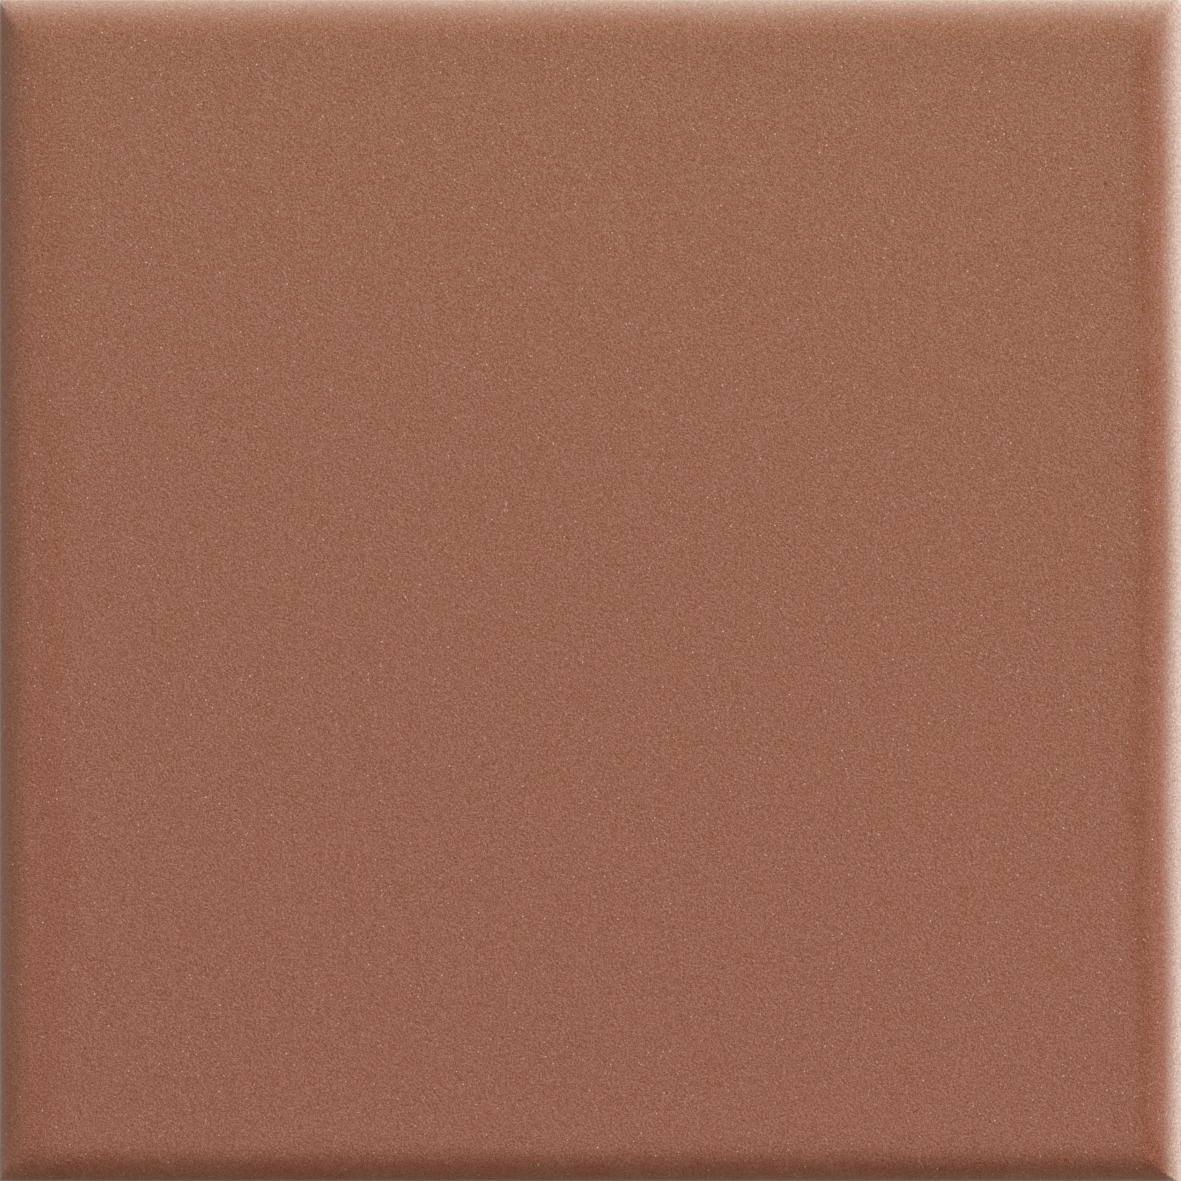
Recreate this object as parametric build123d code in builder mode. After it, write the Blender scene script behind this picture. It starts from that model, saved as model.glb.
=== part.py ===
from build123d import *
import os

# Square wall tile, pressed and fired in one piece, face up, with its back on the XY plane.
# The origin is the middle of the back. All sizes are in millimetres.

# Outline and edges
side = 100.0            # length and width, side face to side face
thickness = 7.0         # back plane to glazed face
roll_radius = 3.4       # rolled edge that carries the face over into the sides
corner_radius = 0.5     # soft mitre between two rolls, and the upright corner below it
back_bevel = 0.8        # 45 degree bevel that the press punch leaves round the back

# Keyed back: shallow drafted pockets that leave a grid of ribs for the adhesive to grip
back_border = 5.5       # flat band from the side face to the first pocket
rib_width = 2.2         # flat land between two pockets
pocket_count = 6        # pockets along each side
pocket_depth = 0.8      # back plane to pocket floor
pocket_draft = 30.0     # slope of the pocket walls, in degrees from upright
pocket_corner = 1.2     # radius between two pocket walls

# Where the two edge sections start, and the pockets that fill the back inside its border
section_start = -side / 2
pocket_side = (side - 2 * back_border - (pocket_count - 1) * rib_width) / pocket_count
pocket_pitch = pocket_side + rib_width

# Upright section of the tile, drawn once: flat face, rolled edges, sides and bevelled back
with BuildSketch() as edge_section:
    with Locations((0, thickness / 2)):
        Rectangle(side, thickness)
    fillet(edge_section.vertices().group_by(Axis.Y)[-1], roll_radius)
    chamfer(edge_section.vertices().group_by(Axis.Y)[0], back_bevel)

with BuildPart() as wall_tile:
    # One section runs along Y and one along X. What they share is the tile, with mitred rolls.
    with BuildSketch(Plane.XZ.offset(section_start)):
        add(edge_section.sketch)
    extrude(amount=side)
    with BuildSketch(Plane.YZ.offset(section_start)):
        add(edge_section.sketch)
    extrude(amount=side, mode=Mode.INTERSECT)

    # Soft corners: above the bevel, only the mitres and the upright corners run along neither X nor Y
    sloping_edges = wall_tile.edges().filter_by(Axis.X, reverse=True).filter_by(Axis.Y, reverse=True)
    fillet(sloping_edges.filter_by_position(Axis.Z, back_bevel, thickness), corner_radius)

    # Pockets of the keyed back, narrowing towards their floors
    with BuildSketch():
        with GridLocations(pocket_pitch, pocket_pitch, pocket_count, pocket_count):
            Rectangle(pocket_side, pocket_side)
    extrude(amount=pocket_depth, taper=pocket_draft, mode=Mode.SUBTRACT)

    # Rounded corners between the pocket walls, again the edges along neither X nor Y
    pocket_edges = wall_tile.edges(Select.LAST)
    wall_corners = pocket_edges.filter_by(Axis.X, reverse=True).filter_by(Axis.Y, reverse=True)
    fillet(wall_corners, pocket_corner)

wall_tile.part.label = "wall_tile"

os.makedirs("parts", exist_ok=True)
export_step(wall_tile.part, "parts/wall_tile.step")
print(f"wall tile: {wall_tile.part.volume / 1000:.2f} cm3, {len(wall_tile.faces())} faces")
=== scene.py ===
# %% [markdown]
# A glazed wall tile, from the frame to the finished picture
# The object is one square of pressed and fired clay with a satin-matt terracotta glaze. It has a
# flat face, a softly rolled edge, plain sides and a keyed back. The frame holds the tile at its real
# size, with its back on the floor and its face up. This lesson models the glazed tile over that
# frame, gives glaze and bare clay their own finish, and photographs it from straight above.

# %% Load the frame
import math

import bmesh
import bpy
from mathutils import Matrix, Vector, noise


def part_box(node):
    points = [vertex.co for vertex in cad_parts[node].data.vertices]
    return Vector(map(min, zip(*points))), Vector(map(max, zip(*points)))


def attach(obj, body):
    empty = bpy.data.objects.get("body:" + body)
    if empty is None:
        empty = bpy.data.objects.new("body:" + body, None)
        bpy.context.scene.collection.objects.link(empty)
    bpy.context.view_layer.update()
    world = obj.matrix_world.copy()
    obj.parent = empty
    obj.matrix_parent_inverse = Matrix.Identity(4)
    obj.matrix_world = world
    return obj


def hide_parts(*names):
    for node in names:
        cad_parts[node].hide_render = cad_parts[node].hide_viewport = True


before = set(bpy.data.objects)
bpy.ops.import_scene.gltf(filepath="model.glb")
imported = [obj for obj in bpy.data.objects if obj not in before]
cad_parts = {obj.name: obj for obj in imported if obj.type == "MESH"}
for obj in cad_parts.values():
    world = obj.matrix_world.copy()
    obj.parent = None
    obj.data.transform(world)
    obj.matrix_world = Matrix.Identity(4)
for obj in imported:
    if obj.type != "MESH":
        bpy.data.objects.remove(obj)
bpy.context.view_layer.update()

# %% [markdown]
# Sizes come from the frame where it has them. The tile's box gives the half side and the height of
# the face. The section, with its roll and its bevel, is repeated here as named sizes, because a mesh
# needs to know where the flat face ends and the round edge begins.

# %% Measure the tile
MM = 0.001
low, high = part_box("wall_tile")
half_side = (high.x - low.x) / 2
face_height = high.z
roll_radius = 3.4 * MM
back_bevel = 0.8 * MM
print(f"tile {2 * half_side / MM:.1f} mm square, {face_height / MM:.1f} mm thick")

# %% [markdown]
# The face and its rolled edge are one skin, so they start as one grid. An even grid would waste its
# lines on the flat middle and leave the roll coarse. Here the lines stand at equal turns of the roll,
# which puts them close together near the outline, and evenly spaced across the face.

# %% Lay out the grid of the face
roll_steps = 14
face_steps = 170
grid_steps = face_steps + 2 * roll_steps
grid_reach = 1.0


def line_inset(step):
    """Distance from the outline of a grid line, counted from the nearer side."""
    if step <= roll_steps:
        turn = math.radians(90) * step / roll_steps
        return roll_radius * (1 - math.cos(turn))
    share = (step - roll_steps) / (face_steps / 2)
    return roll_radius + (half_side - roll_radius) * share


def line_place(reach):
    """Turn a place on the even grid into its place across the tile."""
    step = round((grid_reach - abs(reach)) / (2 * grid_reach) * grid_steps)
    return math.copysign(half_side - line_inset(step), reach)


tile = bmesh.new()
bmesh.ops.create_grid(tile, x_segments=grid_steps, y_segments=grid_steps, size=grid_reach)
for point in tile.verts:
    point.co.x = line_place(point.co.x)
    point.co.y = line_place(point.co.y)
print("face grid:", len(tile.faces), "faces")

# %% [markdown]
# Much on a tile differs from side to side by a little: the width of the roll, and the painted highlight
# and painted shade on it. Such values are given once for each side. These two helpers find how far a point
# is from each side, and blend the sides' values softly across the corners.

# %% Tell the four sides apart
side_names = ("right", "upper", "left", "lower")
side_blend = 0.8 * MM


def side_insets(place):
    """Distances of a point from the four sides, in the order of side_names."""
    return (half_side - place.x, half_side - place.y, half_side + place.x, half_side + place.y)


def blend_sides(place, values):
    """Value for a point from its nearest side, blended softly across the corners."""
    insets = side_insets(place)
    weights = [math.exp((min(insets) - inset) / side_blend) for inset in insets]
    total = sum(weight * values[name] for weight, name in zip(weights, side_names))
    return total / sum(weights)


print("sides:", side_names)

# %% [markdown]
# In plan the corners of a pressed tile are nearly sharp, but glaze softens them, and the more so the
# further it lies from the outline. Each square ring of the grid gets its own corner radius: small at
# the outline, larger where the roll meets the face, and none in the middle.

# %% Round the corners
outline_corner = 0.15 * MM
shoulder_corner = 2.2 * MM
corner_fade = 5.0 * MM


def ring_corner(inset):
    """Corner radius of the ring at this distance from the outline."""
    if inset < roll_radius:
        return outline_corner + (shoulder_corner - outline_corner) * inset / roll_radius
    return shoulder_corner * max(0.0, 1 - (inset - roll_radius) / corner_fade)


def round_ring(across, along):
    """Move a point of a square ring onto the rounded ring, given its two distances from the outline."""
    inset = min(across, along)
    radius = ring_corner(inset)
    from_corner = max(across, along) - inset
    if from_corner >= radius:
        return across, along
    turn = math.radians(45) * (1 - from_corner / radius)
    near = inset + radius * (1 - math.cos(turn))
    far = inset + radius * (1 - math.sin(turn))
    return (near, far) if across <= along else (far, near)


radii = [ring_corner(inset) / MM for inset in (0, roll_radius)]
print(f"corner radius {radii[0]:.2f} mm at the outline, {radii[1]:.2f} mm where the roll meets the face")

# %% [markdown]
# Every point drops by the roll's section, a quarter of a round. Where two rolls meet, the deeper one
# counts, with a soft change over, and at three corners one roll tapers off while the other runs through.
# A real roll wanders, so its depth follows a slow noise, and the glaze stands in a faint bead where it
# was drawn back from the edge. The whole skin lies lower by the height of bead and wave, so that nothing
# stands above the tile's real thickness.

# %% Roll the edge
roll_widths = {"right": 3.4 * MM, "upper": 3.5 * MM, "left": 3.0 * MM, "lower": 2.9 * MM}
tapers = {("lower", "right"): 0.05, ("left", "upper"): 0.45, ("left", "lower"): 0.45}
taper_reach = 1.8 * MM
mitre_softness = 0.3 * MM
roll_wander = 0.03
wander_length = 14 * MM
bead_inset = 4.2 * MM
bead_width = 1.1 * MM
bead_height = 0.018 * MM
wave_length = 9 * MM
wave_height = 0.006 * MM
wave_shift = Vector((7, 3, 5))
face_slack = bead_height + wave_height


def roll_width(name, insets):
    """Width of a side's roll, which narrows where the roll of another side runs through."""
    width = roll_widths[name]
    for (side, other), end_share in tapers.items():
        if side == name:
            width *= 1 - (1 - end_share) * math.exp(-(insets[other] / taper_reach) ** 2)
    return width


def roll_drop(place):
    """How far the deepest of the four rolls has fallen below the face at this place."""
    insets = dict(zip(side_names, side_insets(place)))
    total = 1.0
    for name in side_names:
        share = max(0.0, 1 - insets[name] / roll_width(name, insets))
        drop = roll_radius * (1 - math.sqrt(1 - share ** 2))
        total += math.exp(drop / mitre_softness) - 1
    return min(roll_radius, mitre_softness * math.log(total))


for point in tile.verts:
    across = half_side - abs(point.co.x)
    along = half_side - abs(point.co.y)
    inset = min(across, along)
    drop = roll_drop(point.co)
    across, along = round_ring(across, along)
    point.co.x = math.copysign(half_side - across, point.co.x)
    point.co.y = math.copysign(half_side - along, point.co.y)
    wander = 1 + roll_wander * noise.noise(point.co / wander_length)
    bead = bead_height * math.exp(-((inset - bead_inset) / bead_width) ** 2)
    wave = wave_height * noise.noise(point.co / wave_length + wave_shift)
    point.co.z = face_height - face_slack - drop * wander + bead + wave
heights = [point.co.z / MM for point in tile.verts]
print(f"skin between {min(heights):.2f} and {max(heights):.3f} mm")

# %% [markdown]
# The light from the right and from above catches the rolls that face it, and there a pale tone of
# painted highlight is laid on the glaze, strongly on the right and the upper rim and faintly on the left.
# The tone leans: it is paler towards the lower right corner, and its band is wider towards the top. Each
# side's band runs on through the corners, so the palest side wins there. The lower side starts a little
# under zero, and only the lean turns its right end pale. All round the outline a hairline of the same
# painted highlight is added. The result is stored as a number on the points of the mesh, and the finish
# reads it later. A second number says how creamy the pale tone is, because the upper rim is warmer than
# the right one. A third number goes over the whole face: the coat is full and red at the foot, and lean
# and tan towards the top.

# %% Paint the highlight on the rim
# Shares of painted highlight for each side, how far its band reaches, and how fast it fades.
highlight_share = {"right": 0.69, "upper": 0.51, "left": 0.14, "lower": -0.05}
highlight_lean = 0.12
highlight_reach = {"right": 1.75 * MM, "upper": 3.0 * MM, "left": 0.9 * MM, "lower": 1.2 * MM}
reach_lean = 0.10
highlight_fall = {"right": 1.4, "upper": 3.3, "left": 1.0, "lower": 1.0}
cream_share = {"right": 0.25, "upper": 0.70, "left": 0.3, "lower": 0.9}
hairline_share = 0.25
hairline_reach = 0.14 * MM
uneven_length = 11 * MM
uneven_share = 0.18
uneven_shift = Vector((1, 9, 4))
foot_lean = 0.2


def rim_drift(place):
    """Slow unevenness along the rim, about 1, which makes the painted bands wander."""
    return 1 + uneven_share * noise.noise(place / uneven_length + uneven_shift)


def painted_highlight(place):
    """Share of painted highlight at a point: the palest of the four sides, each fading with its distance."""
    pale = 0.0
    lean = highlight_lean * (place.x - place.y) / (2 * half_side)
    for name, inset in zip(side_names, side_insets(place)):
        reach = highlight_reach[name] * (1 + reach_lean * place.y / half_side)
        fade = max(0.0, 1 - max(0.0, inset) * rim_drift(place) / reach)
        pale = max(pale, (highlight_share[name] + lean) * fade ** highlight_fall[name])
    hairline = hairline_share * max(0.0, 1 - min(side_insets(place)) / hairline_reach)
    return pale + (1 - pale) * hairline


# The painted highlight, the creaminess of its tone and the lean of the coat are stored on the points.
highlight_mark = tile.verts.layers.float.new("highlight_rim")
cream_mark = tile.verts.layers.float.new("cream_rim")
lean_mark = tile.verts.layers.float.new("lean_coat")
for point in tile.verts:
    upwards = (half_side + point.co.y) / (2 * half_side)
    point[highlight_mark] = painted_highlight(point.co)
    point[cream_mark] = blend_sides(point.co, cream_share)
    point[lean_mark] = foot_lean + (1 - foot_lean) * upwards ** 2
print("palest point of the rim:", round(max(point[highlight_mark] for point in tile.verts), 2))

# %% [markdown]
# A few millimetres further in, where the roll starts to turn away from the light, a darker and redder
# ring of painted shade is laid on the glaze. On the right this is a clear ring, above and on the left a
# faint one, and on the lower roll the painted shade lies on the roll itself.

# %% Paint the shade ring
# Shares of the painted shade ring on each side, where it lies and how wide it is.
shade_ring_share = {"right": 0.60, "upper": 0.05, "left": 0.32, "lower": 0.62}
shade_ring_inset = {"right": 3.1 * MM, "upper": 2.9 * MM, "left": 4.1 * MM, "lower": 1.0 * MM}
shade_ring_reach = {"right": 0.85 * MM, "upper": 0.85 * MM, "left": 1.6 * MM, "lower": 1.5 * MM}

# The ring of painted shade is stored on the points as well.
shade_ring_mark = tile.verts.layers.float.new("painted_shade_ring")
for point in tile.verts:
    inset = max(0.0, min(side_insets(point.co))) * rim_drift(point.co)
    from_ring = (inset - blend_sides(point.co, shade_ring_inset)) / blend_sides(point.co, shade_ring_reach)
    point[shade_ring_mark] = blend_sides(point.co, shade_ring_share) * math.exp(-(from_ring ** 2))
print("darkest point of the ring:", round(max(point[shade_ring_mark] for point in tile.verts), 2))

# %% [markdown]
# Below the roll the skin goes down the sides. Glaze runs over the edge and stops part of the way down
# in an uneven line with a thin lip, because the lower sides are wiped clean before firing. Each step
# is a ring: extrude the open edge, then lower and shrink the new ring. The lip's ring goes up and down
# with a slow noise, and from there on the faces belong to the bare clay.

# %% Extrude the sides ring by ring
glaze_line = 2.1 * MM
glaze_ragged = 0.45 * MM
ragged_length = 6 * MM
lip_height = 0.1 * MM
glaze_thickness = 0.06 * MM
side_highlight = 0.3
bare_half = half_side - glaze_thickness


def next_ring(edges):
    """Extrude an open ring of edges and return the new open ring, its points and its faces."""
    made = bmesh.ops.extrude_edge_only(tile, edges=edges)["geom"]
    points = [part for part in made if isinstance(part, bmesh.types.BMVert)]
    faces = [part for part in made if isinstance(part, bmesh.types.BMFace)]
    ring = [part for part in made if isinstance(part, bmesh.types.BMEdge) and part.is_boundary]
    return ring, points, faces


def shrink(points, reach, new_reach):
    """Draw a ring in towards the middle of the tile."""
    share = new_reach / reach
    bmesh.ops.scale(tile, vec=(share, share, 1), verts=points)


ring = [edge for edge in tile.edges if edge.is_boundary]
ring, points, _ = next_ring(ring)
for point in points:
    ragged = noise.noise(Vector((point.co.x, point.co.y, 0)) / ragged_length)
    point.co.z = glaze_line + glaze_ragged * ragged
    # The painted highlight runs on down the glazed side, weaker.
    point[highlight_mark] *= side_highlight

ring, points, _ = next_ring(ring)
bmesh.ops.translate(tile, vec=(0, 0, -lip_height), verts=points)
shrink(points, half_side, bare_half)

ring, points, bare_sides = next_ring(ring)
for point in points:
    point.co.z = back_bevel

ring, points, _ = next_ring(ring)
for point in points:
    point.co.z = 0.0
shrink(points, bare_half, bare_half - back_bevel)
print("sides and bevel:", len(ring), "edges round the rim of the back")

# %% [markdown]
# The back is keyed, so that adhesive grips it: a grid of shallow square pockets with sloping walls,
# between flat ribs. A second grid has one face for each pocket. An inset leaves half a rib round each
# face, and a second inset with depth pushes the floor in and gives the wall its slope.

# %% Press the pockets into the back
pocket_count = 6
rib_width = 2.2 * MM
back_border = 5.5 * MM
pocket_depth = 0.8 * MM
pocket_draft = math.radians(30)
pocket_field = half_side - back_border + rib_width / 2

made = bmesh.ops.create_grid(tile, x_segments=pocket_count, y_segments=pocket_count, size=pocket_field)
floors = list({face for point in made["verts"] for face in point.link_faces})
bmesh.ops.reverse_faces(tile, faces=floors)
bmesh.ops.inset_individual(tile, faces=floors, thickness=rib_width / 2, use_even_offset=True)
wall_run = pocket_depth * math.tan(pocket_draft)
walls = bmesh.ops.inset_individual(
    tile, faces=floors, thickness=wall_run, depth=-pocket_depth, use_even_offset=True
)["faces"]
print("back:", len(floors), "pockets with", len(walls), "walls")

# %% [markdown]
# A punch that presses clay has no sharp edges, or the clay would stick and crack. So the corners
# between two pocket walls are rounded first, and then the edges where the walls meet the floor and
# the ribs.

# %% Soften the pockets
pocket_corner = 1.2 * MM
pocket_edge = 0.22 * MM
corner_segments = 4
edge_segments = 2
flat_enough = 0.99


def soften(edges, offset, segments):
    """Round a set of edges of the back."""
    bmesh.ops.bevel(
        tile, geom=edges, offset=offset, offset_type="OFFSET", affect="EDGES",
        segments=segments, profile=0.5, material=-1, clamp_overlap=False,
    )


def climbs(edge):
    """True for an edge that runs up a pocket's wall."""
    return abs(edge.verts[0].co.z - edge.verts[1].co.z) > pocket_depth / 2


def bounds_wall(edge):
    """True for an edge of the back between a sloping face and a flat one."""
    if len(edge.link_faces) != 2 or edge.verts[0].co.z > 2 * pocket_depth:
        return False
    if max(abs(edge.verts[0].co.x), abs(edge.verts[0].co.y)) > pocket_field:
        return False
    flat = [abs(face.normal.z) > flat_enough for face in edge.link_faces]
    return flat.count(True) == 1


wall_edges = {edge for face in walls for edge in face.edges}
soften([edge for edge in wall_edges if climbs(edge)], pocket_corner, corner_segments)
tile.normal_update()
soften([edge for edge in tile.edges if bounds_wall(edge)], pocket_edge, edge_segments)
print("faces with the softened pockets:", len(tile.faces))

# %% [markdown]
# The rim of the back and the outer edge of the ribs lie in one plane. Bridging the two loops closes
# the tile. A closed mesh has a volume, which is a good test: it should be close to the solid's, and
# positive once the faces point outwards.

# %% Close the back
CUBIC_CM = 1e-6
rim = [edge for edge in tile.edges if edge.is_boundary]
bmesh.ops.bridge_loops(tile, edges=rim)
bmesh.ops.recalc_face_normals(tile, faces=tile.faces)
open_edges = sum(1 for edge in tile.edges if not edge.is_manifold)
print(f"volume {tile.calc_volume(signed=True) / CUBIC_CM:.2f} cm3, open edges {open_edges}")

# %% [markdown]
# The mesh becomes an object with two finishes. The bare sides were kept in a list as they were made,
# and on the back every face that reaches no higher than the pockets' floors is bare clay. All faces
# are shaded smooth, and only true edges stay sharp.

# %% Make the object
GLAZE, CLAY = 0, 1
sharp_turn = math.radians(38)
back_top = 1.1 * pocket_depth
bare = set(bare_sides)
for face in tile.faces:
    face.smooth = True
    top = max(point.co.z for point in face.verts)
    face.material_index = CLAY if face in bare or top < back_top else GLAZE

tile_mesh = bpy.data.meshes.new("glazed_wall_tile")
tile.to_mesh(tile_mesh)
tile.free()
tile_mesh.set_sharp_from_angle(angle=sharp_turn)
glazed_wall_tile = bpy.data.objects.new("glazed_wall_tile", tile_mesh)
bpy.context.scene.collection.objects.link(glazed_wall_tile)
tile_mesh.calc_loop_triangles()
print("triangles:", len(tile_mesh.loop_triangles))

# %% [markdown]
# Shader trees are easier to read when each line makes one node. The first helper adds a node, sets
# its options and the values of its inputs. The second feeds an input, by a link or by a plain value.
# The third mixes two colours, or tints one with the other, and the fourth multiplies two values.

# %% Helpers for shader nodes
MIX_SHARE, MIX_FIRST, MIX_SECOND, MIX_RESULT = 0, 6, 7, 2


def add_node(tree, kind, options=None, **values):
    """Add a shader node. Options are its own settings; values go to its inputs, with _ for a space."""
    node = tree.nodes.new(kind)
    for name, value in (options or {}).items():
        setattr(node, name, value)
    for name, value in values.items():
        node.inputs[name.replace("_", " ")].default_value = value
    return node


def feed(tree, value, socket):
    """Link an output to an input, or set the input to a plain value."""
    if isinstance(value, bpy.types.NodeSocket):
        tree.links.new(value, socket)
    else:
        socket.default_value = value


def mix_colours(tree, share, first, second, blend="MIX"):
    """Mix two colours by a share from 0 to 1, or tint the first with the second."""
    mix = add_node(tree, "ShaderNodeMix", {"data_type": "RGBA", "blend_type": blend})
    feed(tree, share, mix.inputs[MIX_SHARE])
    feed(tree, first, mix.inputs[MIX_FIRST])
    feed(tree, second, mix.inputs[MIX_SECOND])
    return mix.outputs[MIX_RESULT]


def multiply(tree, first, second):
    """Product of two values."""
    node = add_node(tree, "ShaderNodeMath", {"operation": "MULTIPLY"})
    feed(tree, first, node.inputs[0])
    feed(tree, second, node.inputs[1])
    return node.outputs["Value"]


# %% [markdown]
# Patterns need three more helpers. One stretches the middle of a pattern's range onto the range that a
# finish needs, one adds a noise, and one starts a finish on the tile's own coordinates, so that the
# pattern stays with the tile wherever it goes.

# %% Helpers for patterns
def remap(tree, value, low, high, new_low, new_high):
    """Stretch a range of values onto another, and keep it within that."""
    node = add_node(tree, "ShaderNodeMapRange", From_Min=low, From_Max=high, To_Min=new_low, To_Max=new_high)
    feed(tree, value, node.inputs["Value"])
    return node.outputs["Result"]


def add_noise(tree, place, scale, detail, roughness):
    """Fractal noise on the tile's own coordinates, with the scale in lumps per metre."""
    node = add_node(tree, "ShaderNodeTexNoise", Scale=scale, Detail=detail, Roughness=roughness)
    tree.links.new(place, node.inputs["Vector"])
    return node.outputs["Fac"]


def new_finish(name):
    """A new material, with its tree, its shader and the tile's own coordinates."""
    material = bpy.data.materials.new(name)
    material.use_nodes = True
    tree = material.node_tree
    place = add_node(tree, "ShaderNodeTexCoord").outputs["Object"]
    return material, tree, tree.nodes["Principled BSDF"], place


# %% [markdown]
# The glaze is a satin-matt terracotta. Close up it is made of fine grains, about a twentieth of a
# millimetre wide, mostly dark red brown with paler pink ones between, and only from a distance do they
# melt into one colour. A cell pattern gives each grain a random number. Its square is used as the
# tone, because squaring makes pale grains rarer than dark ones. The number stored for the lean coat
# turns the grains from red at the foot to tan at the top, and soft patches make it drift.

# %% Grains of the glaze
grain_scale = 20000
lean_spread = 0.6
noise_low, noise_high = 0.2, 0.8
red_grains = {"dark": (0.232, 0.067, 0.0233, 1), "light": (0.463, 0.226, 0.1745, 1)}
tan_grains = {"dark": (0.229, 0.075, 0.0250, 1), "light": (0.456, 0.254, 0.1870, 1)}


def cell_pattern(tree, place, scale):
    """A pattern of cells: the distance to a cell's middle, and a random number for each cell."""
    cells = add_node(tree, "ShaderNodeTexVoronoi", Scale=scale)
    channels = add_node(tree, "ShaderNodeSeparateColor")
    tree.links.new(place, cells.inputs["Vector"])
    tree.links.new(cells.outputs["Color"], channels.inputs["Color"])
    return cells.outputs["Distance"], channels.outputs["Red"]


def stored_share(tree, name, uneven, spread):
    """One of the numbers stored on the points, made uneven by a pattern with this spread about 1."""
    stored = add_node(tree, "ShaderNodeAttribute", {"attribute_name": name})
    factor = remap(tree, uneven, noise_low, noise_high, 1 - spread, 1 + spread)
    return multiply(tree, stored.outputs["Fac"], factor)


def grain_colour(tree, grain, patches):
    """Colour of the grains, drifting from a red coat to a tan one."""
    lean = stored_share(tree, "lean_coat", patches, lean_spread)
    dark = mix_colours(tree, lean, red_grains["dark"], tan_grains["dark"])
    light = mix_colours(tree, lean, red_grains["light"], tan_grains["light"])
    return mix_colours(tree, multiply(tree, grain, grain), dark, light)


print(f"grains about {1 / grain_scale / MM:.2f} mm wide")

# %% [markdown]
# Specks are spread over the coat: pale ones where a grain of clay shows through, dark ones where iron
# has melted. A speck is the inside of a small sphere of a cell pattern, cut by the surface. Each cell
# also has a random colour of its own, and one channel of it makes some specks strong and others faint.
# Two marks are single: a pale needle mark in two dashes, and a small dent near the right edge, which is
# cut into the relief and also darkened with painted shade. Each is a ball of gradient, squeezed to an oval
# by a mapping.

# %% Specks and single marks
speck_core = 0.6
oval_core = 0.6
mark_depth = 1 * MM
needle_width = 0.075 * MM
needle_dashes = (
    {"x": -7.13 * MM, "y": 7.32 * MM, "width": needle_width, "length": 0.30 * MM, "turn": 0},
    {"x": -7.23 * MM, "y": 6.83 * MM, "width": needle_width, "length": 0.20 * MM, "turn": -7},
)
dent = {"x": 43.47 * MM, "y": 34.33 * MM, "width": 0.20 * MM, "length": 0.27 * MM, "turn": -35}


def specks(tree, place, scale, reach, shift):
    """Share of small round specks, 0 between them and up to 1 inside them. Reach is in cells."""
    moved = add_node(tree, "ShaderNodeVectorMath", {"operation": "ADD"})
    moved.inputs[1].default_value = shift
    tree.links.new(place, moved.inputs[0])
    distance, strength = cell_pattern(tree, moved.outputs["Vector"], scale)
    return multiply(tree, remap(tree, distance, reach, speck_core * reach, 0.0, 1.0), strength)


def oval_mark(tree, place, x, y, width, length, turn):
    """Share of one oval mark on the face: 1 in its middle, 0 outside it. Width and length are half axes."""
    squeezed = add_node(
        tree, "ShaderNodeMapping", {"vector_type": "TEXTURE"},
        Location=(x, y, face_height), Rotation=(0, 0, math.radians(turn)), Scale=(width, length, mark_depth),
    )
    ball = add_node(tree, "ShaderNodeTexGradient", {"gradient_type": "SPHERICAL"})
    tree.links.new(place, squeezed.inputs["Vector"])
    tree.links.new(squeezed.outputs["Vector"], ball.inputs["Vector"])
    return remap(tree, ball.outputs["Fac"], 0.0, oval_core, 0.0, 1.0)


print("single marks: a needle mark in", len(needle_dashes), "dashes and a dent")

# %% [markdown]
# The coat's colour is put together in layers, as a painter would: grains first, then the ring of painted
# shade, the specks and marks, with painted shade in the dent, and last the painted highlight on the rim.
# The numbers stored on the points say where ring and rim are, and grains and patches break up their
# outlines.

# %% Colour of the glaze
# The lilac and cream tones are the painted highlight on the rim, the tint of the ring is painted shade, and
# the dent's tint is painted shade too.
highlight_lilac = (0.77, 0.65, 0.60, 1)
highlight_cream = (0.84, 0.68, 0.53, 1)
pale_speck = (0.80, 0.62, 0.54, 1)
dark_speck = (0.09, 0.026, 0.014, 1)
shade_ring_tint = (0.82, 0.645, 0.545, 1)
dent_shade = (0.78, 0.61, 0.52, 1)
rim_shade = (0.76, 0.76, 0.76, 1)
rim_shine = (1.24, 1.24, 1.24, 1)
cream_spread, shade_ring_spread, highlight_spread = 0.8, 0.9, 0.7
needle_strength = 0.35
patch_noise = {"scale": 300, "detail": 4, "roughness": 0.75}
rim_noise = {"scale": 5000, "detail": 3, "roughness": 0.6}
pale_speck_cells = {"scale": 1600, "reach": 0.105, "shift": (0.7, 0.4, 0.6)}
dark_speck_cells = {"scale": 1600, "reach": 0.115, "shift": (0.3, 0.1, 0.2)}


def highlight_colour(tree, patches, grain):
    """Colour of the painted highlight on the rim, from lilac to cream, with a grain of its own."""
    cream = stored_share(tree, "cream_rim", patches, cream_spread)
    pale = mix_colours(tree, cream, highlight_lilac, highlight_cream)
    tone = mix_colours(tree, remap(tree, grain, noise_low, noise_high, 0.0, 1.0), rim_shade, rim_shine)
    return mix_colours(tree, 1.0, pale, tone, "MULTIPLY")


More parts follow.
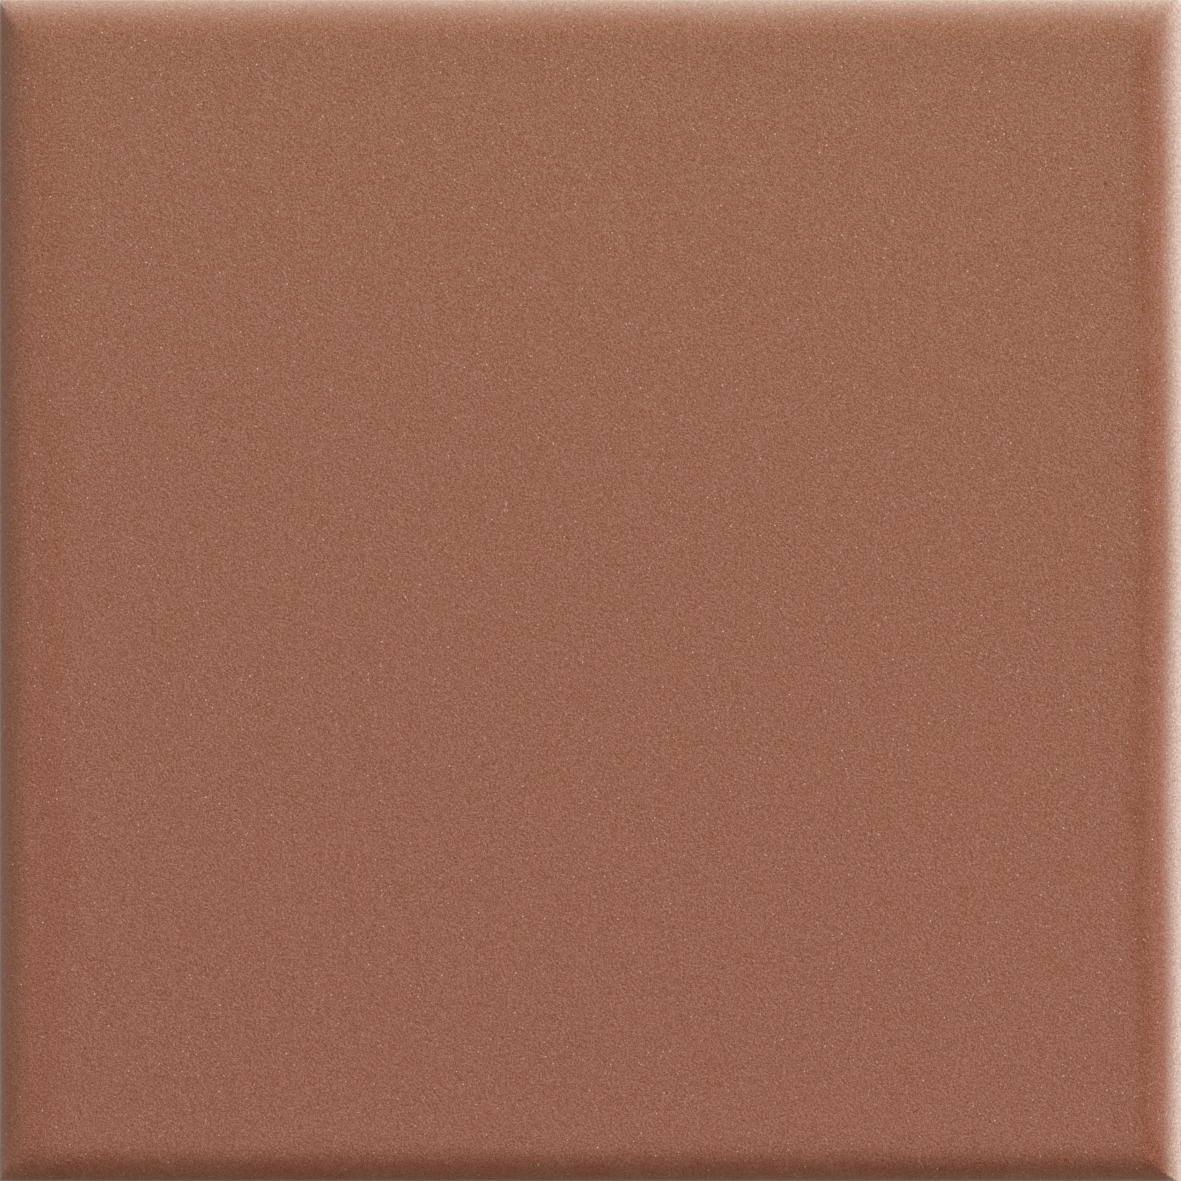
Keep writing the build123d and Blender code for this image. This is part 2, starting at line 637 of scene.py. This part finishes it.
def glaze_colour(tree, place, dent_share):
    """Colour of the glaze at each place of the tile."""
    grain = cell_pattern(tree, place, grain_scale)[1]
    patches = add_noise(tree, place, **patch_noise)
    rim_grain = add_noise(tree, place, **rim_noise)
    dark_specks = specks(tree, place, **dark_speck_cells)
    pale_specks = specks(tree, place, **pale_speck_cells)
    # The ring of painted shade darkens and reddens the grains.
    shade_ring = stored_share(tree, "painted_shade_ring", patches, shade_ring_spread)
    colour = mix_colours(tree, shade_ring, grain_colour(tree, grain, patches), shade_ring_tint, "MULTIPLY")
    colour = mix_colours(tree, dark_specks, colour, dark_speck)
    colour = mix_colours(tree, pale_specks, colour, pale_speck)
    for dash in needle_dashes:
        needle = multiply(tree, oval_mark(tree, place, **dash), needle_strength)
        colour = mix_colours(tree, needle, colour, pale_speck)
    # Painted shade in the dent.
    colour = mix_colours(tree, dent_share, colour, dent_shade, "MULTIPLY")
    # Last the painted highlight on the rim.
    rim_highlight = stored_share(tree, "highlight_rim", rim_grain, highlight_spread)
    return mix_colours(tree, rim_highlight, colour, highlight_colour(tree, patches, rim_grain))


# %% [markdown]
# The coat also has a fine sandy relief of a few hundredths of a millimetre, so each tiny slope takes
# more or less of the side light, and the dent is cut into it. A noise gives the relief and varies the
# gloss, because a hump is smoother than a hollow. It is turned first: a noise has a hidden square grid,
# and lined up with the tile that grid would show.

# %% Glaze finish
sand_noise = {"scale": 4500, "detail": 2, "roughness": 0.5}
sand_turn = (0.5, 0.4, 0.6)
sand_relief = 0.12 * MM
dent_depth = 0.6
hollow, hump = 0.35, 0.65
hollow_roughness, hump_roughness = 0.72, 0.62
glaze_ior = 1.5
glaze_shine = 0.2


def glaze_finish():
    """Satin-matt terracotta glaze with a fine sandy relief."""
    material, tree, shader, place = new_finish("terracotta_glaze")
    shader.inputs["IOR"].default_value = glaze_ior
    shader.inputs["Specular IOR Level"].default_value = glaze_shine
    turned = add_node(tree, "ShaderNodeMapping", Rotation=sand_turn)
    tree.links.new(place, turned.inputs["Vector"])
    sand = add_noise(tree, turned.outputs["Vector"], **sand_noise)
    dent_share = oval_mark(tree, place, **dent)
    height = add_node(tree, "ShaderNodeMath", {"operation": "SUBTRACT"})
    tree.links.new(sand, height.inputs[0])
    tree.links.new(multiply(tree, dent_share, dent_depth), height.inputs[1])
    relief = add_node(tree, "ShaderNodeBump", Strength=1.0, Distance=sand_relief)
    tree.links.new(height.outputs["Value"], relief.inputs["Height"])
    tree.links.new(relief.outputs["Normal"], shader.inputs["Normal"])
    tree.links.new(glaze_colour(tree, place, dent_share), shader.inputs["Base Color"])
    roughness = remap(tree, sand, hollow, hump, hollow_roughness, hump_roughness)
    tree.links.new(roughness, shader.inputs["Roughness"])
    return material


tile_mesh.materials.append(glaze_finish())
print("finish of the face:", tile_mesh.materials[GLAZE].name)

# %% [markdown]
# Bare clay shows on the lower sides and the back. It is fired but not glazed: dull, a little rough and
# sandy, paler and less red than the glaze, with darker grains in it. With both finishes on, the piece
# takes the place of the frame's tile and rides on its body.

# %% Bare clay finish
light_clay = (0.67, 0.43, 0.305, 1)
dark_clay = (0.42, 0.22, 0.145, 1)
iron_grain = (0.13, 0.055, 0.035, 1)
clay_noise = {"scale": 1800, "detail": 4, "roughness": 0.7}
cloud_noise = {"scale": 90, "detail": 3, "roughness": 0.55}
iron_cells = {"scale": 900, "reach": 0.12, "shift": (0.2, 0.8, 0.5)}
clay_low, clay_high = 0.3, 0.7
cloud_low, cloud_high, cloud_share = 0.35, 0.75, 0.45
clay_hollow_roughness, clay_hump_roughness = 0.95, 0.82
clay_relief = 0.09 * MM


def clay_finish():
    """Dull fired clay with sandy grains."""
    material, tree, shader, place = new_finish("fired_clay")
    sand = add_noise(tree, place, **clay_noise)
    clouds = remap(tree, add_noise(tree, place, **cloud_noise), cloud_low, cloud_high, 0.0, cloud_share)
    colour = mix_colours(tree, remap(tree, sand, clay_low, clay_high, 0.0, 1.0), dark_clay, light_clay)
    colour = mix_colours(tree, clouds, colour, dark_clay)
    colour = mix_colours(tree, specks(tree, place, **iron_cells), colour, iron_grain)
    relief = add_node(tree, "ShaderNodeBump", Strength=1.0, Distance=clay_relief)
    tree.links.new(sand, relief.inputs["Height"])
    tree.links.new(relief.outputs["Normal"], shader.inputs["Normal"])
    tree.links.new(colour, shader.inputs["Base Color"])
    roughness = remap(tree, sand, clay_low, clay_high, clay_hollow_roughness, clay_hump_roughness)
    tree.links.new(roughness, shader.inputs["Roughness"])
    return material


tile_mesh.materials.append(clay_finish())
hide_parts("wall_tile")
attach(glazed_wall_tile, "root")
print("finish of the back:", tile_mesh.materials[CLAY].name)

# %% [markdown]
# The stage is a plain pale floor, far larger than the tile. It lies a hair's breadth under the back,
# so that the two planes don't flicker, and it is not attached to the tile's body, so it is not part of the
# object.

# %% Floor
floor_radius = 3.0
floor_drop = 0.05 * MM
floor_light = (0.59, 0.58, 0.57, 1)
floor_dark = (0.54, 0.53, 0.52, 1)
floor_noise = {"scale": 6, "detail": 3, "roughness": 0.5}
floor_roughness = 0.9
floor_shine = 0.1
floor_segments = 96


def floor_finish():
    """Plain pale matt floor with a faint unevenness of tone."""
    material, tree, shader, place = new_finish("pale_floor")
    shader.inputs["Roughness"].default_value = floor_roughness
    shader.inputs["Specular IOR Level"].default_value = floor_shine
    tone = mix_colours(tree, add_noise(tree, place, **floor_noise), floor_dark, floor_light)
    tree.links.new(tone, shader.inputs["Base Color"])
    return material


disc = bmesh.new()
bmesh.ops.create_circle(
    disc, cap_ends=True, segments=floor_segments, radius=floor_radius,
    matrix=Matrix.Translation((0, 0, -floor_drop)),
)
floor_mesh = bpy.data.meshes.new("floor")
disc.to_mesh(floor_mesh)
disc.free()
floor_mesh.materials.append(floor_finish())
floor = bpy.data.objects.new("floor", floor_mesh)
bpy.context.scene.collection.objects.link(floor)
print(f"floor {2 * floor_radius:.0f} m across")

# %% [markdown]
# The light is soft and comes mostly from the upper right, as from a window. An even world fills the
# shade. A softbox models the rolls, so the left and the lower edge fall into shade. Low panels to the
# right and above lift the rolls that face them, weaker ones on the left and below keep those sides from
# going dark, and a panel overhead lays a satin sheen on the flat face. Places are given as on a compass:
# the turn from the right-hand side, and the height as an angle over the floor.

# %% Light
world_level = 0.30
white = (1, 1, 1, 1)
panels = {
    "key_softbox": {"turn": 60, "rise": 38, "distance": 0.9, "width": 0.45, "height": 0.45, "power": 4.2},
    "right_panel": {"turn": 0, "rise": 14, "distance": 0.9, "width": 0.9, "height": 0.36, "power": 3.2},
    "upper_panel": {"turn": 90, "rise": 14, "distance": 0.9, "width": 0.9, "height": 0.36, "power": 1.55},
    "left_panel": {"turn": 180, "rise": 35, "distance": 1.0, "width": 0.8, "height": 0.5, "power": 1.45},
    "lower_panel": {"turn": 270, "rise": 14, "distance": 0.9, "width": 0.9, "height": 0.36, "power": 0.3},
    "overhead_panel": {"turn": 60, "rise": 74, "distance": 1.1, "width": 0.7, "height": 0.5, "power": 3.1},
}


def add_panel(name, turn, rise, distance, width, height, power):
    """A rectangular area lamp that looks at the middle of the tile."""
    lamp = bpy.data.lights.new(name, "AREA")
    lamp.shape = "RECTANGLE"
    lamp.size = width
    lamp.size_y = height
    lamp.energy = power
    panel = bpy.data.objects.new(name, lamp)
    flat = distance * math.cos(math.radians(rise))
    panel.location = (
        flat * math.cos(math.radians(turn)),
        flat * math.sin(math.radians(turn)),
        distance * math.sin(math.radians(rise)),
    )
    target = Vector((0, 0, face_height))
    panel.rotation_euler = (target - panel.location).to_track_quat("-Z", "Y").to_euler()
    panel.visible_camera = False
    bpy.context.scene.collection.objects.link(panel)


world = bpy.data.worlds.new("soft_room")
world.use_nodes = True
background = world.node_tree.nodes["Background"]
background.inputs["Color"].default_value = white
background.inputs["Strength"].default_value = world_level
bpy.context.scene.world = world
for name, values in panels.items():
    add_panel(name, **values)
bpy.context.scene.view_settings.view_transform = "Standard"
print("lamps:", list(panels))

# %% [markdown]
# The camera looks straight down, from far off with a long lens, so the sides stay hidden and the tile
# fills the picture to its rim. The widest part of the tile is where the roll turns into the side, so
# the lens is worked out from the distance to that height.

# %% Camera
camera_height = 1.6
sensor_width = 36.0
widest_height = face_height - roll_radius

camera_data = bpy.data.cameras.new("camera")
camera_data.sensor_width = sensor_width
camera_data.lens = sensor_width * (camera_height - widest_height) / (2 * half_side)
camera = bpy.data.objects.new("camera", camera_data)
camera.location = (0, 0, camera_height)
bpy.context.scene.collection.objects.link(camera)
bpy.context.scene.camera = camera
print(f"lens {camera_data.lens:.0f} mm")
